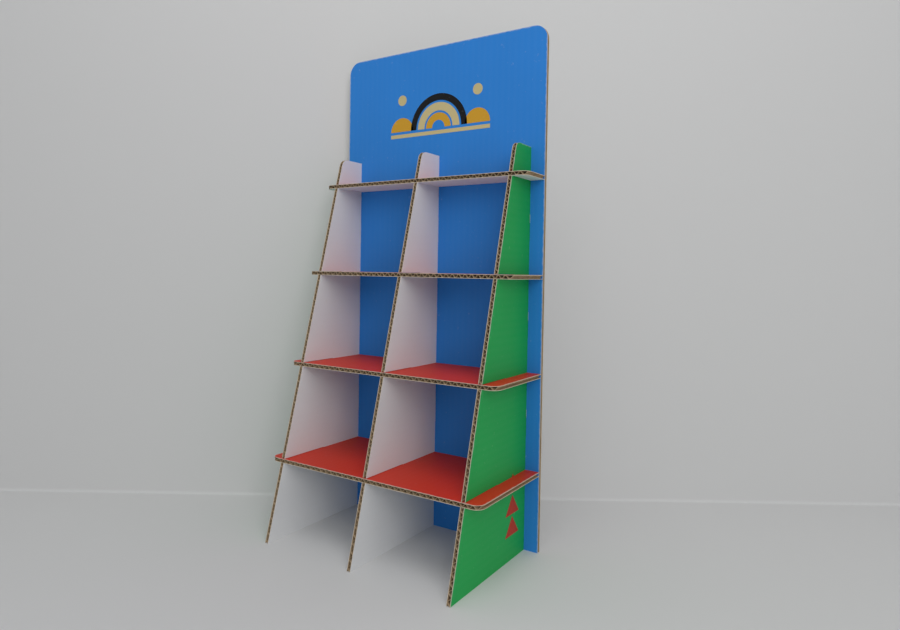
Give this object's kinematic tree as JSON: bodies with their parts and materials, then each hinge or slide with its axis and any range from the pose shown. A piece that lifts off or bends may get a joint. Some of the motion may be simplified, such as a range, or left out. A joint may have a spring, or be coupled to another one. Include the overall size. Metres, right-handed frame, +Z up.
{
  "type": "cardboard display stand",
  "caption": "Slot-together counter display stand of corrugated board: leaning uprights cross open shelves in front of a taller printed back panel.",
  "frame": {"origin": "bottom centre of the bounding box, on the surface the stand rests on", "axes": "+Z up, -Y towards the shopper, +X to the shopper's right when facing the stand"},
  "size_m": [0.278, 0.1578, 0.57],
  "materials": {
    "panel_board": "satin print on corrugated board",
    "upright_board": "white-lined corrugated board, outer faces printed",
    "shelf_board": "satin print on corrugated board"
  },
  "bodies": {
    "root": {"back_panel": "panel_board", "left_upright": "upright_board", "middle_upright": "upright_board", "right_upright": "upright_board", "shelf_1": "shelf_board", "shelf_2": "shelf_board", "shelf_3": "shelf_board", "shelf_4": "shelf_board"}
  },
  "joints": []
}
